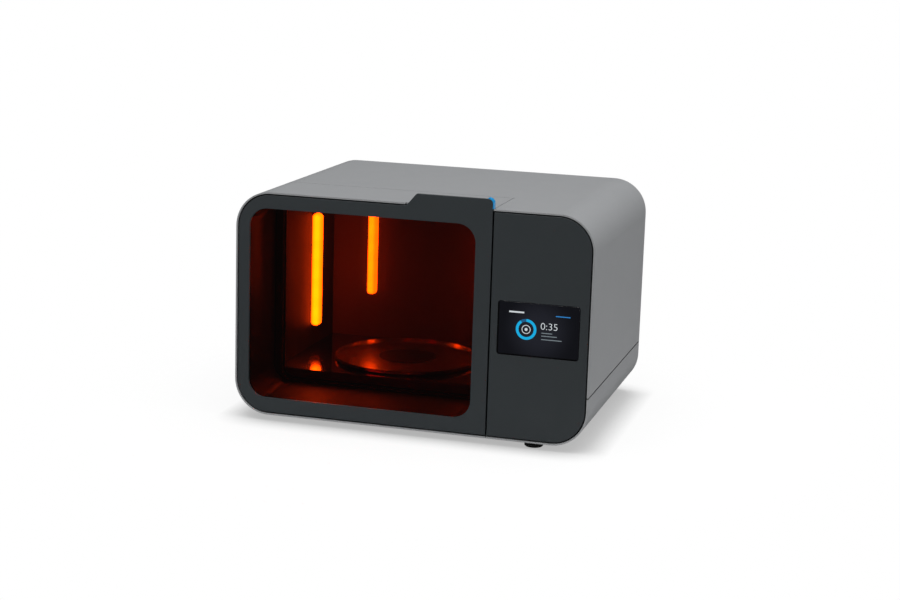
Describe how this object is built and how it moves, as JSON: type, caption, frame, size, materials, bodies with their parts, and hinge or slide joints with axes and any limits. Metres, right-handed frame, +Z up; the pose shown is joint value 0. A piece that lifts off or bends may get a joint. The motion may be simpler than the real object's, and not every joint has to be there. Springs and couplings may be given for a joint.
{
  "type": "uv curing chamber",
  "caption": "Bench-top ultraviolet curing chamber: wide rounded case on feet, deep hinged door with amber window, touch display, and a dark chamber with turntable and light bars.",
  "frame": {"origin": "on the table, under the middle of the case", "axes": "+Z up, the front with door and display faces -Y, +X to the right as seen from the front"},
  "size_m": [0.4732, 0.345, 0.3146],
  "materials": {
    "aluminium": "plain extruded aluminium",
    "amber_acrylic": "clear amber-red acrylic that blocks ultraviolet",
    "black_plastic": "matt black moulding",
    "black_rubber": "matt black rubber",
    "blue_accent": "glossy blue moulding",
    "brushed_steel": "brushed stainless steel",
    "circuit_board": "green circuit board",
    "dark_cap": "matt black cap",
    "dark_front_plate": "satin dark grey moulded front plate",
    "dark_liner_sheet": "dark satin sheet with a glossy floor",
    "diode_board": "white diode strip",
    "display_glass": "black cover glass with a lit screen behind",
    "foam": "grey silicone foam",
    "grey_painted_case": "satin fine-textured grey paint on sheet aluminium",
    "light_diffuser": "frosted diffuser, lit",
    "polished_steel": "polished stainless steel",
    "silicone_mat": "red-brown silicone heating mat",
    "steel_magnet": "nickel-plated",
    "zinc_steel": "zinc-plated sheet steel"
  },
  "bodies": {
    "case": {"back_panel": "black_plastic", "back_screws": "steel_magnet", "base_shell": "grey_painted_case", "bay_divider": "zinc_steel", "bay_side_wall": "black_plastic", "board_screws": "zinc_steel", "board_standoffs": "zinc_steel", "case_hinge_rivets": "brushed_steel", "chamber_liner": "dark_liner_sheet", "chassis_plate": "zinc_steel", "control_panel": "dark_front_plate", "display_glass": "display_glass", "display_module": "black_plastic", "display_strap": "zinc_steel", "door_gasket": "black_rubber", "fan_frame": "black_plastic", "feet": "black_rubber", "foot_screws": "zinc_steel", "front_bulkhead": "black_plastic", "heat_sink": "aluminium", "heating_mat": "silicone_mat", "hinge_pins": "brushed_steel", "inlet_blades": "steel_magnet", "led_strips": "diode_board", "left_chamber_channel": "zinc_steel", "left_light_diffuser": "light_diffuser", "light_carriers": "aluminium", "lower_case_leaf": "brushed_steel", "main_board": "circuit_board", "motor_bracket": "zinc_steel", "mouth_frame": "black_plastic", "power_inlet": "black_plastic", "power_supply": "zinc_steel", "rear_left_light_diffuser": "light_diffuser", "rear_right_light_diffuser": "light_diffuser", "right_chamber_channel": "zinc_steel", "right_light_diffuser": "light_diffuser", "strike_plates": "steel_magnet", "switch_frame": "black_plastic", "temperature_probe": "brushed_steel", "top_insulation": "foam", "turntable_bush": "black_plastic", "turntable_motor": "brushed_steel", "upper_case_leaf": "brushed_steel", "upper_shell": "grey_painted_case"},
    "door": {"door_skin": "grey_painted_case", "door_bezel": "dark_front_plate", "tab_accent": "blue_accent", "door_liner": "black_plastic", "door_side_wall": "black_plastic", "window_pane": "amber_acrylic", "door_magnets": "steel_magnet", "lower_door_leaf": "brushed_steel", "upper_door_leaf": "brushed_steel", "door_hinge_rivets": "brushed_steel"},
    "turntable": {"turntable_plate": "polished_steel", "turntable_cap": "dark_cap", "turntable_hub": "brushed_steel"},
    "fan_rotor": {"fan_rotor": "black_plastic"},
    "power_rocker": {"power_rocker": "black_plastic"}
  },
  "joints": [
    {"name": "door_hinge", "type": "hinge", "parent": "case", "child": "door", "pos_m": [-0.2334, -0.0739, 0.1695], "axis": [0, 0, -1], "range_deg": [0, 110]},
    {"name": "turntable_spin", "type": "hinge", "parent": "case", "child": "turntable", "pos_m": [-0.06415, 0.0425, 0.049], "axis": [0, 0, 1], "continuous": true},
    {"name": "fan_spin", "type": "hinge", "parent": "case", "child": "fan_rotor", "pos_m": [0.1616, 0.1555, 0.213], "axis": [0, -1, 0], "continuous": true},
    {"name": "rocker_tip", "type": "hinge", "parent": "case", "child": "power_rocker", "pos_m": [0.1916, 0.168, 0.042], "axis": [1, 0, 0], "range_deg": [0, 14]}
  ]
}
